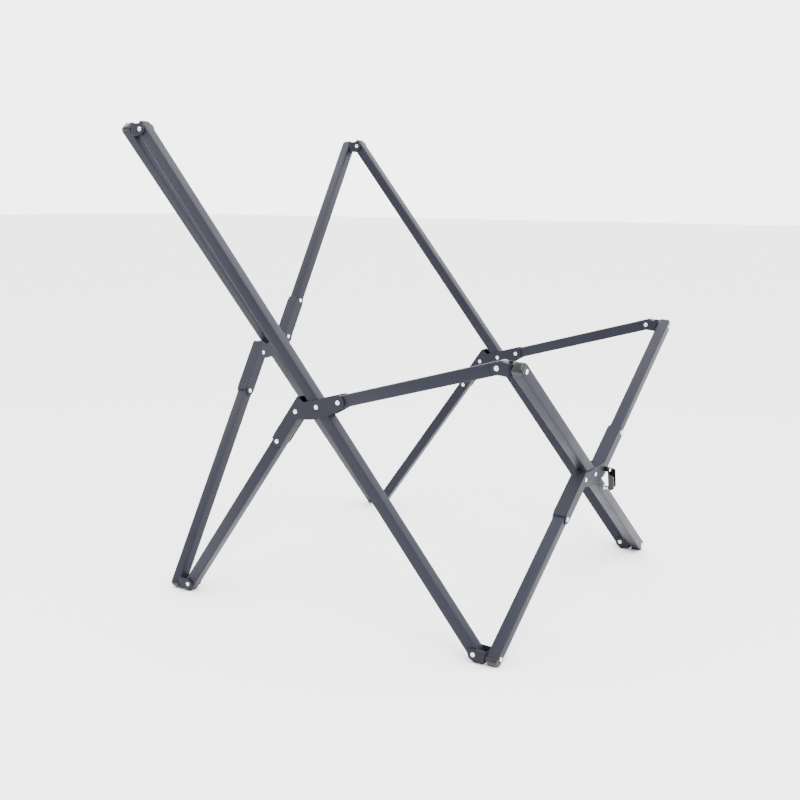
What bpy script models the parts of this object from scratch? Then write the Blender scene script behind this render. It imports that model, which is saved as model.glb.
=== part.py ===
"""Bare folding frame of a high-back camp lounge chair.

Eight corners (two tall back tops, two low front tops and four feet) are joined by four
crossed pairs of 20 mm square tube: a back X, a front X and one X on each side.
Every corner is a U bracket that turns on both of its tubes, so the whole frame
closes into a bundle of near-parallel tubes.

Frame: +Z up, +X to the far side, +Y to the back. The front faces -Y.
Lengths are metres.
"""

import math

import bmesh
import bpy
from mathutils import Matrix, Vector

MM = 0.001

# ---------------------------------------------------------------- driving dimensions
TUBE = 20.0 * MM          # outside of the square tube
WALL = 1.4 * MM           # tube wall
CHAMFER = 1.2 * MM        # long edges of the tube
GAP = 0.3 * MM            # clearance between touching pieces
WIDTH = 642.0 * MM        # open width between the middles of the two side frames
PIN_Z = 14.5 * MM         # height of the side-frame foot pins

LONG_TOP = 560.0 * MM     # long side tube: X pivot to top pin
LONG_FOOT = 460.0 * MM    # long side tube: X pivot to foot pin
PLATE_ALONG = 34.0 * MM   # plate: pivot to end rivet, measured along the tube it carries
PLATE_SIDE = 27.0 * MM    # plate: pivot to end rivet, measured across the tube it carries
LOWER = 427.0 * MM        # side lower tube: plate end rivet to foot pin
ARM_ALONG = 34.0 * MM     # plate: pivot to arm pin, along the folded bundle
ARM_SIDE = 27.0 * MM      # plate: pivot to arm pin, across the folded bundle
ARM = 289.0 * MM          # arm: plate pin to front top pin

FOLD_WIDTH = 40.0 * MM    # folded width between the middles of the two side frames
FOLD_LOWER = math.radians(-3.5)   # folded angle of the lower tube to the long tube
FOLD_ARM = math.radians(-3.0)     # folded angle of the arm to the long tube

BRACKET_REACH = 32.0 * MM  # tube middle to side pin, across the bracket
SHEET = 2.0 * MM           # bracket sheet
EAR_R = 9.5 * MM           # rounded end of a bracket ear
BASE_HALF = 10.0 * MM      # half height of the bracket base

PLATE_T = 1.6 * MM         # plate and sleeve sheet
PLATE_TOP = 12.0 * MM      # straight edge of the plate above the rivet line
PLATE_BELLY = 19.0 * MM    # deepest point of the plate below the rivet line
SLEEVE_SIDE = 67.0 * MM    # plate end rivet to second rivet, side frames
SLEEVE_X = 85.0 * MM       # plate end rivet to second rivet, back and front
SLEEVE_LONG = 23.0 * MM   # side sleeve: plate end rivet back to its open end
SLEEVE_BACK = 20.0 * MM   # back cross sleeve: plate end rivet back to its open end
SLEEVE_SHORT = 11.0 * MM  # front cross sleeve: plate end rivet back to its open end

HEAD_R = 3.9 * MM          # rivet head
HEAD_H = 1.5 * MM
SHANK_R = 2.2 * MM
HOLE_R = 2.55 * MM

CAP = 7.0 * MM             # length of a tube plug outside the tube
CAP_R = 7.0 * MM           # rounding of the plug
TOP_EXT = 13.0 * MM        # pin to plug end, upper corners
FOOT_EXT_SIDE = 15.2 * MM  # pin to plug end, feet of the side tubes
FOOT_EXT_BACK = 12.2 * MM
FOOT_EXT_FRONT = 13.3 * MM
INNER_EXT = 9.0 * MM       # pin to cut end, tube ends held between plates
ARM_INNER_EXT = 7.0 * MM  # the same at the arm, which turns past the long tube

LATCH_ALONG = 68.0 * MM    # catch on the front straight tube: distance from the X pivot
LATCH_BOSS = 7.3 * MM     # height of the boss under the latch bar's web
LATCH_WEB = 2.0 * MM      # web of the latch bar
LATCH_FLANGE = 10.6 * MM  # depth of the latch bar's channel
LATCH_FLANGE_T = 1.1 * MM
LATCH_HALF = 5.3 * MM     # half width of the latch bar
LATCH_STAND = LATCH_BOSS + LATCH_WEB + 0.8 * MM  # extra length of the plate rivet that carries it
LATCH_OFF = 3.0 * MM       # and off the tube's middle line, towards its upper side
Y_SHIFT = -13.448 * MM       # places the middle of the depth at Y = 0

HALF = TUBE / 2
E_PLATE = math.hypot(PLATE_ALONG, PLATE_SIDE)
GAMMA = math.atan2(PLATE_SIDE, PLATE_ALONG)

# ---------------------------------------------------------------- fresh scene
for o in list(bpy.data.objects):
    bpy.data.objects.remove(o, do_unlink=True)
for block in (bpy.data.meshes, bpy.data.curves, bpy.data.materials):
    for d in list(block):
        block.remove(d)
for c in list(bpy.data.collections):
    bpy.data.collections.remove(c)

PARTS = bpy.data.collections.new("folding_chair_frame")
CUTTERS = bpy.data.collections.new("cutters")
for c in (PARTS, CUTTERS):
    bpy.context.scene.collection.children.link(c)
CUTTERS.hide_render = True


def material(name, color, roughness, metallic):
    m = bpy.data.materials.new(name)
    m.use_nodes = True
    b = m.node_tree.nodes["Principled BSDF"]
    b.inputs["Base Color"].default_value = (*color, 1.0)
    b.inputs["Roughness"].default_value = roughness
    b.inputs["Metallic"].default_value = metallic
    return m


PAINT = material("slate_paint", (0.085, 0.09, 0.115), 0.42, 0.35)
SHEET_PAINT = material("bracket_paint", (0.07, 0.075, 0.098), 0.45, 0.35)
STEEL = material("rivet_steel", (0.75, 0.76, 0.78), 0.25, 1.0)
BLACK = material("black_plastic", (0.012, 0.012, 0.014), 0.38, 0.0)


# ---------------------------------------------------------------- frames and placing
def frame(origin, z, x):
    """A placement with the given local Z, and local X as near x as it can be."""
    z = Vector(z).normalized()
    x = Vector(x)
    x = (x - z * x.dot(z)).normalized()
    y = z.cross(x)
    m = Matrix.Identity(4)
    for i, v in enumerate((x, y, z)):
        for r in range(3):
            m[r][i] = v[r]
    m.translation = Vector(origin)
    return m


BODY = {}


def body(name, point):
    """An empty on the joint's axis. The pieces of one moving body are its children."""
    e = bpy.data.objects.new("axis_" + name, None)
    e.empty_display_size = 0.03
    e.location = point
    PARTS.objects.link(e)
    BODY[name] = e
    return e


def place(obj, place_at, body_name, mat):
    obj.data.materials.clear()
    obj.data.materials.append(mat)
    e = BODY[body_name]
    obj.parent = e
    obj.matrix_parent_inverse = Matrix.Translation(-e.location)
    obj.matrix_basis = place_at
    return obj


def new_object(name, bm, collection=None):
    bmesh.ops.recalc_face_normals(bm, faces=bm.faces)
    me = bpy.data.meshes.new(name)
    bm.to_mesh(me)
    bm.free()
    o = bpy.data.objects.new(name, me)
    (collection or PARTS).objects.link(o)
    return o


def smooth(obj, angle=35):
    obj.data.shade_smooth()
    obj.data.set_sharp_from_angle(angle=math.radians(angle))
    return obj


# ---------------------------------------------------------------- shape makers
def add_box(bm, lo, hi):
    size = Vector(hi) - Vector(lo)
    mid = (Vector(hi) + Vector(lo)) / 2
    m = Matrix.Translation(mid) @ Matrix.Diagonal((*size, 1.0))
    return bmesh.ops.create_cube(bm, size=1.0, matrix=m)["verts"]


def add_cylinder(bm, start, axis, length, r, segments=10):
    m = frame(Vector(start) + Vector(axis).normalized() * length / 2, axis, (1, 0, 0.013))
    return bmesh.ops.create_cone(
        bm, cap_ends=True, segments=segments, radius1=r, radius2=r, depth=length, matrix=m
    )["verts"]


def outline_mesh(points, thickness):
    """A flat outline in XY, thickened both ways along Z."""
    curve = bpy.data.curves.new("outline", "CURVE")
    curve.dimensions = "2D"
    curve.fill_mode = "BOTH"
    curve.extrude = thickness / 2
    s = curve.splines.new("POLY")
    s.points.add(len(points) - 1)
    for p, (x, y) in zip(s.points, points):
        p.co = (x, y, 0.0, 1.0)
    s.use_cyclic_u = True
    o = bpy.data.objects.new("outline", curve)
    CUTTERS.objects.link(o)
    bpy.context.view_layer.update()
    graph = bpy.context.evaluated_depsgraph_get()
    me = bpy.data.meshes.new_from_object(o.evaluated_get(graph))
    bpy.data.objects.remove(o, do_unlink=True)
    bpy.data.curves.remove(curve)
    bm = bmesh.new()
    bm.from_mesh(me)
    bpy.data.meshes.remove(me)
    bmesh.ops.remove_doubles(bm, verts=bm.verts, dist=1e-6)
    return bm


def arc(cx, cy, r, a0, a1, steps):
    return [
        (cx + r * math.cos(a0 + (a1 - a0) * i / steps), cy + r * math.sin(a0 + (a1 - a0) * i / steps))
        for i in range(steps + 1)
    ]


def boolean(obj, other, operation):
    """A finished Boolean: the result's mesh replaces obj's mesh, and other goes."""
    mod = obj.modifiers.new(operation.lower(), "BOOLEAN")
    mod.operation = operation
    mod.solver = "EXACT"
    mod.object = other
    bpy.context.view_layer.update()
    graph = bpy.context.evaluated_depsgraph_get()
    me = bpy.data.meshes.new_from_object(obj.evaluated_get(graph))
    obj.modifiers.clear()
    old = obj.data
    obj.data = me
    bpy.data.meshes.remove(old)
    me.name = obj.name
    bpy.data.objects.remove(other, do_unlink=True)
    bm = bmesh.new()
    bm.from_mesh(me)
    bmesh.ops.remove_doubles(bm, verts=bm.verts, dist=1e-7)
    bmesh.ops.dissolve_degenerate(bm, edges=bm.edges, dist=1e-7)
    bmesh.ops.dissolve_limit(
        bm, angle_limit=math.radians(0.2), use_dissolve_boundaries=False, verts=bm.verts, edges=bm.edges
    )
    bmesh.ops.triangulate(bm, faces=bm.faces)
    bm.to_mesh(me)
    bm.free()
    return obj


def drill(obj, holes, r=HOLE_R):
    """Round holes through obj. Each hole is (point, axis, length) in obj's own frame."""
    if not holes:
        return obj
    bm = bmesh.new()
    for point, axis, length in holes:
        axis = Vector(axis).normalized()
        add_cylinder(bm, Vector(point) - axis * length / 2, axis, length, r, 8)
    cutter = new_object("drill", bm, CUTTERS)
    cutter.hide_render = True
    cutter.display_type = "WIRE"
    return boolean(obj, cutter, "DIFFERENCE")


# ---------------------------------------------------------------- pieces
def tube(name, a, b, side, ext_a, ext_b, pins, body_name, heads=()):
    """Square tube whose middle line runs from ext_a before a to ext_b past b. Its own X
    is side. pins are the distances from a of the holes along X, and heads are the
    distances of rivet heads that are fused with its +X face."""
    a, b = Vector(a), Vector(b)
    length = (b - a).length
    m = frame(a, b - a, side)
    bm = bmesh.new()
    add_box(bm, (-HALF, -HALF, -ext_a), (HALF, HALF, length + ext_b))
    long_edges = [e for e in bm.edges if abs(e.verts[0].co.z - e.verts[1].co.z) > length / 2]
    bmesh.ops.bevel(bm, geom=long_edges, offset=CHAMFER, segments=1, affect="EDGES")
    o = new_object(name, bm)
    inner = HALF - WALL
    bm = bmesh.new()
    add_box(bm, (-inner, -inner, -ext_a - 0.01), (inner, inner, length + ext_b + 0.01))
    boolean(o, new_object("bore", bm, CUTTERS), "DIFFERENCE")
    drill(o, [((0, 0, z), (1, 0, 0), TUBE * 1.4) for z in pins])
    for z in heads:
        fuse_head(o, (0, 0, z), (1, 0, 0), HALF)
    return place(o, m, body_name, PAINT)


def plug_shape(name, at, cap=CAP):
    """One tube plug. Local Z points out of the tube and its end is rounded about local X."""
    r = CAP_R
    w = HALF - 0.2 * MM
    pts = [(-w, 0.0), (w, 0.0)]
    pts += arc(w - r, cap - r, r, 0, math.pi / 2, 4)
    pts += arc(-w + r, cap - r, r, math.pi / 2, math.pi, 4)
    bm = outline_mesh(pts, 2 * w)
    # the outline's XY becomes (across, out of the tube); its thickness lies along local X
    bm.transform(Matrix(((0, 0, 1, 0), (1, 0, 0, 0), (0, 1, 0, 0), (0, 0, 0, 1))))
    o = new_object(name, bm, CUTTERS)
    inner = HALF - WALL - GAP
    bm = bmesh.new()
    add_box(bm, (-inner, -inner, -3.2 * MM), (inner, inner, 1.0 * MM))
    boolean(o, new_object("stem", bm, CUTTERS), "UNION")
    o.data.transform(at @ Matrix.Translation((0, 0, GAP)))
    return o


def ground_cut(obj):
    """Cuts the foot flat where it stands on the ground, in world coordinates."""
    bm = bmesh.new()
    bm.from_mesh(obj.data)
    geom = bm.verts[:] + bm.edges[:] + bm.faces[:]
    cut = bmesh.ops.bisect_plane(
        bm, geom=geom, plane_co=(0, 0, 0), plane_no=(0, 0, 1), clear_inner=True, dist=1e-7
    )
    edges = [e for e in cut["geom_cut"] if isinstance(e, bmesh.types.BMEdge)]
    if edges:
        bmesh.ops.edgenet_fill(bm, edges=edges)
    bmesh.ops.triangulate(bm, faces=bm.faces)
    bmesh.ops.recalc_face_normals(bm, faces=bm.faces)
    bm.to_mesh(obj.data)
    bm.free()


def plug(name, point, out, axis, foot, body_name):
    """A tube plug at the tube's end point, pointing out, rounded about axis. A foot is cut
    flat where it stands on the ground."""
    o = plug_shape(name, frame(point, out, axis))
    if foot:
        ground_cut(o)
    at = Matrix.Translation(Vector(point))
    o.data.transform(at.inverted())
    PARTS.objects.link(o)
    CUTTERS.objects.unlink(o)
    return place(smooth(o), at, body_name, BLACK)


def lathe(bm_out, profile, at, steps=10):
    """Turns a profile of (radius, height) points, from axis to axis, about Z."""
    bm = bmesh.new()
    verts = [bm.verts.new((r, 0.0, z)) for r, z in profile]
    edges = [bm.edges.new(p) for p in zip(verts, verts[1:])]
    bmesh.ops.spin(
        bm, geom=verts + edges, axis=(0, 0, 1), cent=(0, 0, 0), angle=2 * math.pi, steps=steps, use_merge=True
    )
    bmesh.ops.remove_doubles(bm, verts=bm.verts, dist=1e-6)
    bmesh.ops.recalc_face_normals(bm, faces=bm.faces)
    bm.transform(at)
    me = bpy.data.meshes.new("turned")
    bm.to_mesh(me)
    bm.free()
    bm_out.from_mesh(me)
    bpy.data.meshes.remove(me)


def head(z, up=1.0, r=HEAD_R, h=HEAD_H):
    """Dome profile points from the rim to the axis, standing on height z."""
    return [(r, z), (r, z + up * h * 0.25), (r * 0.62, z + up * h * 0.85), (0.0, z + up * h)]


def rivet_profile(low, high, low_head, high_head):
    """Closed profile from the axis to the axis: a shank from low to high, with domes."""
    profile = list(reversed(head(low, -1.0))) if low_head else [(0.0, low)]
    profile += [(SHANK_R, low), (SHANK_R, high)]
    profile += head(high, 1.0) if high_head else [(0.0, high)]
    return profile


def rivet(name, centre, axis, low, high, body_name):
    """A separate rivet with a head at both ends. Its shank runs from low to high."""
    at = frame(centre, axis, (0.31, 0.17, 0.93))
    bm = bmesh.new()
    lathe(bm, rivet_profile(low, high, True, True), Matrix.Identity(4))
    return place(smooth(new_object(name, bm)), at, body_name, STEEL)


def fuse_rivet(obj, centre, axis, low, high):
    """A rivet that never turns in obj, fused with it. Coordinates are obj's own."""
    bm = bmesh.new()
    lathe(bm, rivet_profile(low, high, True, True), frame(centre, axis, (0.31, 0.17, 0.93)))
    return boolean(obj, new_object("fixed_rivet", bm, CUTTERS), "UNION")


def fuse_head(obj, centre, axis, height):
    """Only a rivet's head, fused with obj's face at that height along the axis."""
    bm = bmesh.new()
    sunk = height - 0.5 * MM
    profile = [(0.0, sunk), (HEAD_R, sunk)] + head(height, 1.0)
    lathe(bm, profile, frame(centre, axis, (0.31, 0.17, 0.93)))
    return boolean(obj, new_object("head", bm, CUTTERS), "UNION")


def bracket(name, tube_point, reach_dir, loose_pin, loose_base, body_name):
    """U bracket: a base on the tube's face and two rounded ears that reach along
    reach_dir to the side pin. Local X is the side pin's axis, local Y the reach.
    A loose pin or base carries fused rivet heads and has no shank."""
    reach_dir = Vector(reach_dir).normalized()
    x = Vector((1, 0, 0))
    z = x.cross(reach_dir)
    m = frame(tube_point, z, x)          # local Y = z cross x = reach_dir
    lo = HALF + GAP
    # side view of an ear, in (reach, height)
    pts = [(lo, -BASE_HALF), (lo + 5 * MM, -BASE_HALF)]
    pts += arc(BRACKET_REACH, 0.0, EAR_R, -math.pi / 2, math.pi / 2, 8)
    pts += [(lo + 5 * MM, BASE_HALF), (lo, BASE_HALF)]
    bm = outline_mesh(pts, 2 * (HALF + GAP + SHEET))
    # outline X -> local Y, outline Y -> local Z, thickness -> local X
    bm.transform(Matrix(((0, 0, 1, 0), (1, 0, 0, 0), (0, 1, 0, 0), (0, 0, 0, 1))))
    o = new_object(name, bm)
    bm = bmesh.new()
    w = HALF + GAP
    add_box(bm, (-w, lo + SHEET, -0.03), (w, lo + 0.06, 0.03))
    boolean(o, new_object("slot", bm, CUTTERS), "DIFFERENCE")
    holes = []
    if loose_pin:
        for s in (-1, 1):
            fuse_head(o, (0, BRACKET_REACH, 0), (s, 0, 0), HALF + GAP + SHEET)
    else:
        holes.append(((0, BRACKET_REACH, 0), (1, 0, 0), 0.06))
    if loose_base:
        fuse_head(o, (0, 0, 0), (0, 1, 0), lo + SHEET)
    else:
        holes.append(((0, lo + SHEET / 2, 0), (0, 1, 0), 0.008))
    drill(o, holes)
    return place(o, m, body_name, SHEET_PAINT)


def boat():
    """Plate outline in (along the rivet line, up): straight top, round ends, full belly."""
    e, r = E_PLATE, PLATE_TOP
    drop = PLATE_BELLY - r
    big = (e * e + drop * drop) / (2 * drop)
    half = math.asin(e / big)
    cy = -r - drop + big
    pts = arc(e, 0, r, math.pi / 2, -math.pi / 2, 8)
    pts += arc(0, cy, big, -math.pi / 2 + half, -math.pi / 2 - half, 10)[1:-1]
    pts += arc(-e, 0, r, 1.5 * math.pi, 0.5 * math.pi, 8)
    return pts


def tongue(x0, y0, angle, length, web_side, base):
    """A strip along a tube held by the plate, with a round end past the second rivet.
    Returns its outline in plate coordinates."""
    h = HALF + GAP
    hw, ho = (h + PLATE_T, h) if web_side > 0 else (h, h + PLATE_T)
    r = 9.0 * MM
    c, s = math.cos(angle), math.sin(angle)
    # the shoulders stay where the round end is narrower than the strip
    pts = [(-base, -ho), (length - 4 * MM, -ho)]
    pts += arc(length, 0, r, -math.pi / 2 + 0.25, math.pi / 2 - 0.25, 6)
    pts += [(length - 4 * MM, hw), (-base, hw)]
    return [(x0 + c * x - s * y, y0 + s * x + c * y) for x, y in pts]


def pressing(name, pivot, line_dir, top_dir, arms, loose_ends, body_name, latch=False, sleeve=SLEEVE_SHORT):
    """Pair of plates on both faces of the crossing tube, joined by a sleeve web along
    each tube that the plates hold. Local X is the rivet line, local Y is top_dir.
    arms are (x sign, angle of the held tube, second rivet distance, web side). The rivets
    through a held tube are fused; a loose end only has a head on each plate."""
    line_dir = Vector(line_dir).normalized()
    top_dir = Vector(top_dir).normalized()
    m = frame(pivot, line_dir.cross(top_dir), line_dir)
    lo = HALF + GAP
    o = None
    for side in (-1, 1):
        z = side * (lo + PLATE_T / 2)
        bm = outline_mesh(boat(), PLATE_T)
        bm.transform(Matrix.Translation((0, 0, z)))
        plate = new_object(name + "_plate", bm, CUTTERS)
        for sign, angle, second, web in arms:
            bm = outline_mesh(tongue(sign * E_PLATE, 0.0, angle, second, web, sleeve), PLATE_T)
            bm.transform(Matrix.Translation((0, 0, z)))
            boolean(plate, new_object("tongue", bm, CUTTERS), "UNION")
        if o is None:
            o = plate
        else:
            bm = bmesh.new()
            bm.from_mesh(o.data)
            bm.from_mesh(plate.data)
            old = o.data
            bm.to_mesh(old)
            bm.free()
            bpy.data.objects.remove(plate, do_unlink=True)
    for sign, angle, second, web in arms:
        bm = bmesh.new()
        h = lo
        y0, y1 = (h, h + PLATE_T) if web > 0 else (-h - PLATE_T, -h)
        add_box(bm, (-sleeve, y0, -lo - PLATE_T), (second + 3 * MM, y1, lo + PLATE_T))
        bm.transform(Matrix.Translation((sign * E_PLATE, 0, 0)) @ Matrix.Rotation(angle, 4, "Z"))
        boolean(o, new_object("web", bm, CUTTERS), "UNION")
    drill(o, [((0, 0, 0), (0, 0, 1), 0.05)])
    face = lo + PLATE_T - 0.1 * MM
    for sign, angle, second, web in arms:
        far_end = face + (LATCH_STAND if (sign > 0 and latch) else 0.0)
        fuse_rivet(o, (sign * E_PLATE, 0, 0), (0, 0, 1), -face, far_end)
        fuse_rivet(
            o, (sign * E_PLATE + math.cos(angle) * second, math.sin(angle) * second, 0), (0, 0, 1), -face, face
        )
    for x in loose_ends:
        for z in (-1, 1):
            fuse_head(o, (x, 0, 0), (0, 0, z), lo + PLATE_T)
    PARTS.objects.link(o)
    CUTTERS.objects.unlink(o)
    o.name = name
    return place(o, m, body_name, SHEET_PAINT)


# ---------------------------------------------------------------- the linkage, open
def turned(p, w):
    c, s = math.cos(w), math.sin(w)
    return (c * p[0] - s * p[1], s * p[0] + c * p[1])


def side_points(width, back_diag, front_diag):
    """Pins of one side frame in the long tube's own (up, back) coordinates."""
    lb = math.sqrt(back_diag**2 - width**2)
    lf = math.sqrt(front_diag**2 - width**2)
    foot_b = (-PLATE_ALONG - LOWER, PLATE_SIDE)
    rd = math.hypot(*foot_b)
    w = math.acos((LONG_TOP**2 + rd**2 - lb**2) / (2 * LONG_TOP * rd)) - math.atan2(foot_b[1], foot_b[0])
    d = turned(foot_b, w)
    a = turned((ARM_ALONG, -ARM_SIDE), w)
    low = turned((-PLATE_ALONG, PLATE_SIDE), w)
    f = (-LONG_FOOT, 0.0)
    dx, dy = a[0] - f[0], a[1] - f[1]
    dist = math.hypot(dx, dy)
    along = (lf**2 - ARM**2 + dist**2) / (2 * dist)
    off = math.sqrt(lf**2 - along**2)
    ux, uy = dx / dist, dy / dist
    top_f = (f[0] + ux * along + uy * off, f[1] + uy * along - ux * off)
    return {"T": (LONG_TOP, 0.0), "F": f, "D": d, "A": a, "L": low, "S": top_f, "P": (0.0, 0.0)}


def diagonals():
    """Back and front diagonals that let the frame close at the folded width."""
    d = turned((-PLATE_ALONG - LOWER, PLATE_SIDE), FOLD_LOWER)
    a = turned((ARM_ALONG, -ARM_SIDE), FOLD_LOWER)
    s = turned((ARM, 0.0), FOLD_ARM)
    s = (a[0] + s[0], a[1] + s[1])
    lb = math.hypot(LONG_TOP - d[0], d[1])
    lf = math.hypot(s[0] + LONG_FOOT, s[1])
    return math.hypot(lb, FOLD_WIDTH), math.hypot(lf, FOLD_WIDTH)


BACK_DIAG, FRONT_DIAG = diagonals()
SIDE = side_points(WIDTH, BACK_DIAG, FRONT_DIAG)
TILT = math.atan2(SIDE["D"][1] - SIDE["F"][1], SIDE["D"][0] - SIDE["F"][0])


def to_yz(p):
    return (p[0] * math.cos(TILT) + p[1] * math.sin(TILT), p[0] * math.sin(TILT) - p[1] * math.cos(TILT))


YZ = {k: to_yz(v) for k, v in SIDE.items()}
Y0 = (YZ["D"][0] + YZ["F"][0]) / 2
Z0 = YZ["F"][1]
YZ = {k: (v[0] - Y0 + Y_SHIFT, v[1] - Z0 + PIN_Z) for k, v in YZ.items()}


def at(key, side):
    """A side-frame point in world coordinates; side is -1 near, +1 far."""
    return Vector((side * WIDTH / 2, YZ[key][0], YZ[key][1]))


X = Vector((1, 0, 0))
BACK_UP = (at("T", 1) - at("D", 1)).normalized()
BACK_N = BACK_UP.cross(X)                 # out of the back plane
if BACK_N.y < 0:
    BACK_N = -BACK_N
FRONT_UP = (at("S", 1) - at("F", 1)).normalized()
FRONT_N = FRONT_UP.cross(X)
if FRONT_N.y > 0:
    FRONT_N = -FRONT_N


def back_at(key, side):
    return at(key, side) + BACK_N * BRACKET_REACH


def front_at(key, side):
    return at(key, side) + FRONT_N * BRACKET_REACH


PB = (back_at("T", -1) + back_at("D", 1)) / 2
PF = (front_at("S", -1) + front_at("F", 1)) / 2


def z_member(pivot, top, up):
    """Points of the two-piece member of a back or front X. The held tubes run parallel,
    PLATE_SIDE either side of the pivot. Returns (tube direction, plate line, upper end
    rivet, lower end rivet, upper half end, lower half end)."""
    v = top - pivot
    half = v.length
    eff = math.atan2(v.dot(up), v.dot(X))
    tube_angle = eff + math.asin(PLATE_SIDE / half)
    line_angle = tube_angle - GAMMA
    d = X * math.cos(tube_angle) + up * math.sin(tube_angle)
    line = X * math.cos(line_angle) + up * math.sin(line_angle)
    return d, line


BZ_DIR, BZ_LINE = z_member(PB, back_at("T", 1), BACK_UP)
FZ_DIR, FZ_LINE = z_member(PF, front_at("S", 1), FRONT_UP)

# ---------------------------------------------------------------- bodies
body("near_back_foot", back_at("D", -1))
body("back_z", back_at("D", -1))
body("back_straight", PB)
body("near_back_top", back_at("T", -1))
body("near_lower", at("D", -1))
body("near_long", at("P", -1))
body("near_front_foot", at("F", -1))
body("front_z", front_at("F", -1))
body("front_straight", PF)
body("near_front_top", front_at("S", -1))
body("near_arm", at("S", -1))
body("far_front_foot", front_at("F", 1))
body("far_long", at("F", 1))
body("far_lower", at("P", 1))
body("far_back_foot", at("D", 1))
body("far_back_top", at("T", 1))
body("far_front_top", front_at("S", 1))
body("far_arm", at("S", 1))
body("latch", PF + FZ_LINE * E_PLATE)


# ---------------------------------------------------------------- side frames
def side_frame(tag, s):
    long_foot, long_top = at("F", s), at("T", s)
    u = (long_top - long_foot).normalized()
    low, foot_b = at("L", s), at("D", s)
    d = (foot_b - low).normalized()
    arm_a, arm_b = at("A", s), at("S", s)
    v = (arm_b - arm_a).normalized()
    n = LONG_FOOT + LONG_TOP
    tube(tag + "_long_tube", long_foot, long_top, X, FOOT_EXT_SIDE - CAP, TOP_EXT - CAP,
         [0.0, LONG_FOOT, n], tag + "_long")
    tube(tag + "_lower_tube", low, foot_b, X, INNER_EXT, FOOT_EXT_SIDE - CAP,
         [0.0, SLEEVE_SIDE, (foot_b - low).length], tag + "_lower")
    tube(tag + "_arm_tube", arm_a, arm_b, X, ARM_INNER_EXT, TOP_EXT - CAP,
         [0.0, ARM], tag + "_arm")
    plug(tag + "_long_foot_plug", long_foot - u * (FOOT_EXT_SIDE - CAP), -u, X, True, tag + "_long")
    plug(tag + "_long_top_plug", long_top + u * (TOP_EXT - CAP), u, X, False, tag + "_long")
    plug(tag + "_lower_plug", foot_b + d * (FOOT_EXT_SIDE - CAP), d, X, True, tag + "_lower")
    plug(tag + "_arm_plug", arm_b + v * (TOP_EXT - CAP), v, X, False, tag + "_arm")
    # plate: local X from the lower tube's rivet to the arm pin
    line = (arm_a - low).normalized()
    top = Vector((0, -line.z, line.y))
    if top.z < 0:
        top = -top
    pivot = at("P", s)
    rel = d
    angle = math.atan2(rel.dot(top), rel.dot(line))
    web = 1
    # the web lies on the side of the lower tube that faces up and back
    side_normal = top * math.cos(angle) - line * math.sin(angle)
    if side_normal.z < 0:
        web = -1
    pressing(tag + "_side_plates", pivot, line, top, [(-1, angle, SLEEVE_SIDE, web)], [E_PLATE], tag + "_lower", sleeve=SLEEVE_LONG)
    reach = HALF + GAP + PLATE_T + GAP
    rivet(tag + "_side_rivet", pivot, X, -reach, reach, tag + "_lower")


side_frame("near", -1)
side_frame("far", 1)


# ---------------------------------------------------------------- back and front X
def cross_frame(tag, straight_top, straight_foot, z_top, z_foot, pivot, normal, up, z_dir, z_line, foot_ext,
                loose, latch):
    """normal points out of the frame; the brackets lie on the other side of the tubes.
    loose opens the pivots at the straight tube's foot and at the upper half's top."""
    w = (straight_foot - straight_top).normalized()
    length = (straight_foot - straight_top).length
    tube(tag + "_straight_tube", straight_top, straight_foot, normal, TOP_EXT - CAP, foot_ext - CAP,
         [0.0, length / 2] + ([] if loose else [length]), tag + "_straight", [length] if loose else [])
    plug(tag + "_straight_top_plug", straight_top - w * (TOP_EXT - CAP), -w, normal, False, tag + "_straight")
    plug(tag + "_straight_foot_plug", straight_foot + w * (foot_ext - CAP), w, normal, True, tag + "_straight")
    hi = pivot + z_line * E_PLATE
    lo = pivot - z_line * E_PLATE
    up_len = (z_top - hi).length
    low_len = (z_foot - lo).length
    tube(tag + "_z_upper_tube", hi, z_top, normal, INNER_EXT, TOP_EXT - CAP,
         [0.0, SLEEVE_X] + ([] if loose else [up_len]), tag + "_z", [up_len] if loose else [])
    tube(tag + "_z_lower_tube", lo, z_foot, normal, INNER_EXT, foot_ext - CAP,
         [0.0, SLEEVE_X, low_len], tag + "_z")
    du = (z_top - hi).normalized()
    dl = (z_foot - lo).normalized()
    plug(tag + "_z_top_plug", z_top + du * (TOP_EXT - CAP), du, normal, False, tag + "_z")
    plug(tag + "_z_foot_plug", z_foot + dl * (foot_ext - CAP), dl, normal, True, tag + "_z")
    top = normal.cross(z_line)
    if top.z < 0:
        top = -top
    arms = []
    for sign, d in ((1, du), (-1, dl)):
        angle = math.atan2(d.dot(top), d.dot(z_line))
        side_normal = top * math.cos(angle) - z_line * math.sin(angle)
        # the web is on the upper, near-side face of both tubes
        web = 1 if side_normal.dot(up - X) > 0 else -1
        arms.append((sign, angle, SLEEVE_X, web))
    pressing(tag + "_z_plates", pivot, z_line, top, arms, [], tag + "_z", latch, SLEEVE_BACK if tag == "back" else SLEEVE_SHORT)
    reach = HALF + GAP + PLATE_T + GAP
    rivet(tag + "_cross_rivet", pivot, normal, -reach, reach, tag + "_z")
    inner = HALF + GAP + SHEET + GAP      # through the bracket base
    outer = HALF + GAP
    rivet(tag + "_straight_top_rivet", straight_top, normal, -inner, outer, tag + "_straight")
    rivet(tag + "_z_foot_rivet", z_foot, normal, -inner, outer, tag + "_z")
    if not loose:
        rivet(tag + "_straight_foot_rivet", straight_foot, normal, -inner, outer, tag + "_straight")
        rivet(tag + "_z_top_rivet", z_top, normal, -inner, outer, tag + "_z")


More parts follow.
